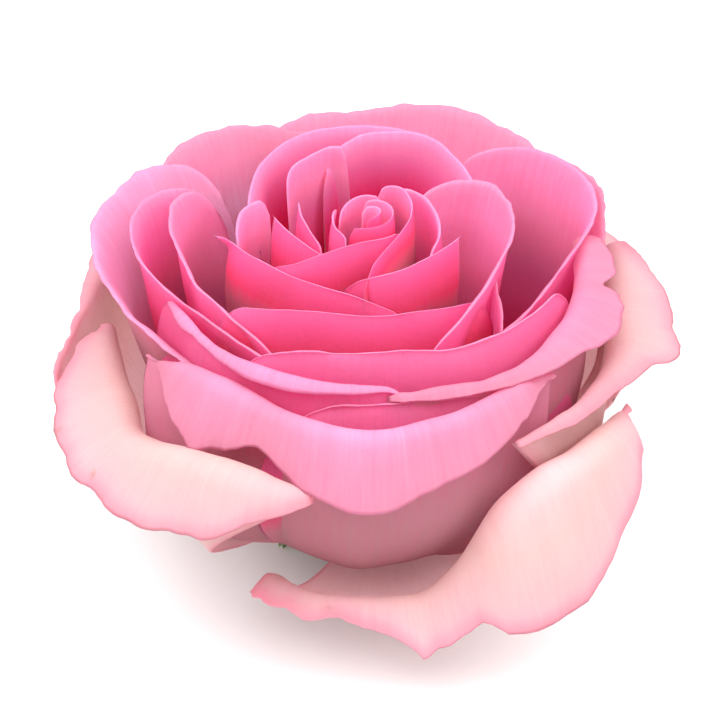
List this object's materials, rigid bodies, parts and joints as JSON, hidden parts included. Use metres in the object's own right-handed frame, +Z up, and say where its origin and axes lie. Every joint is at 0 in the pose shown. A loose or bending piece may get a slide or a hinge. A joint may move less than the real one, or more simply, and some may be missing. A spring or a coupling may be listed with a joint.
{
  "type": "rose bloom",
  "caption": "Open pink garden rose bloom with pale guard petals, cut under its hip and set down upright.",
  "frame": {"origin": "middle of the hip's flat cut face, where the bloom rests", "axes": "+Z up along the bloom's axis; -Y towards the side the picture was taken from, +X to the right there"},
  "size_m": [0.1146, 0.1115, 0.0751],
  "materials": {
    "pink_petal": "matte, velvety and slightly translucent",
    "guard_petal": "matte, slightly translucent",
    "calyx_green": "matte green plant skin"
  },
  "bodies": {
    "root": {"pink_petals": "pink_petal", "guard_petal_left": "guard_petal", "guard_petal_front": "guard_petal", "guard_petal_right": "guard_petal", "guard_petal_back_left": "guard_petal", "guard_petal_back_right": "guard_petal", "calyx": "calyx_green"}
  },
  "joints": []
}
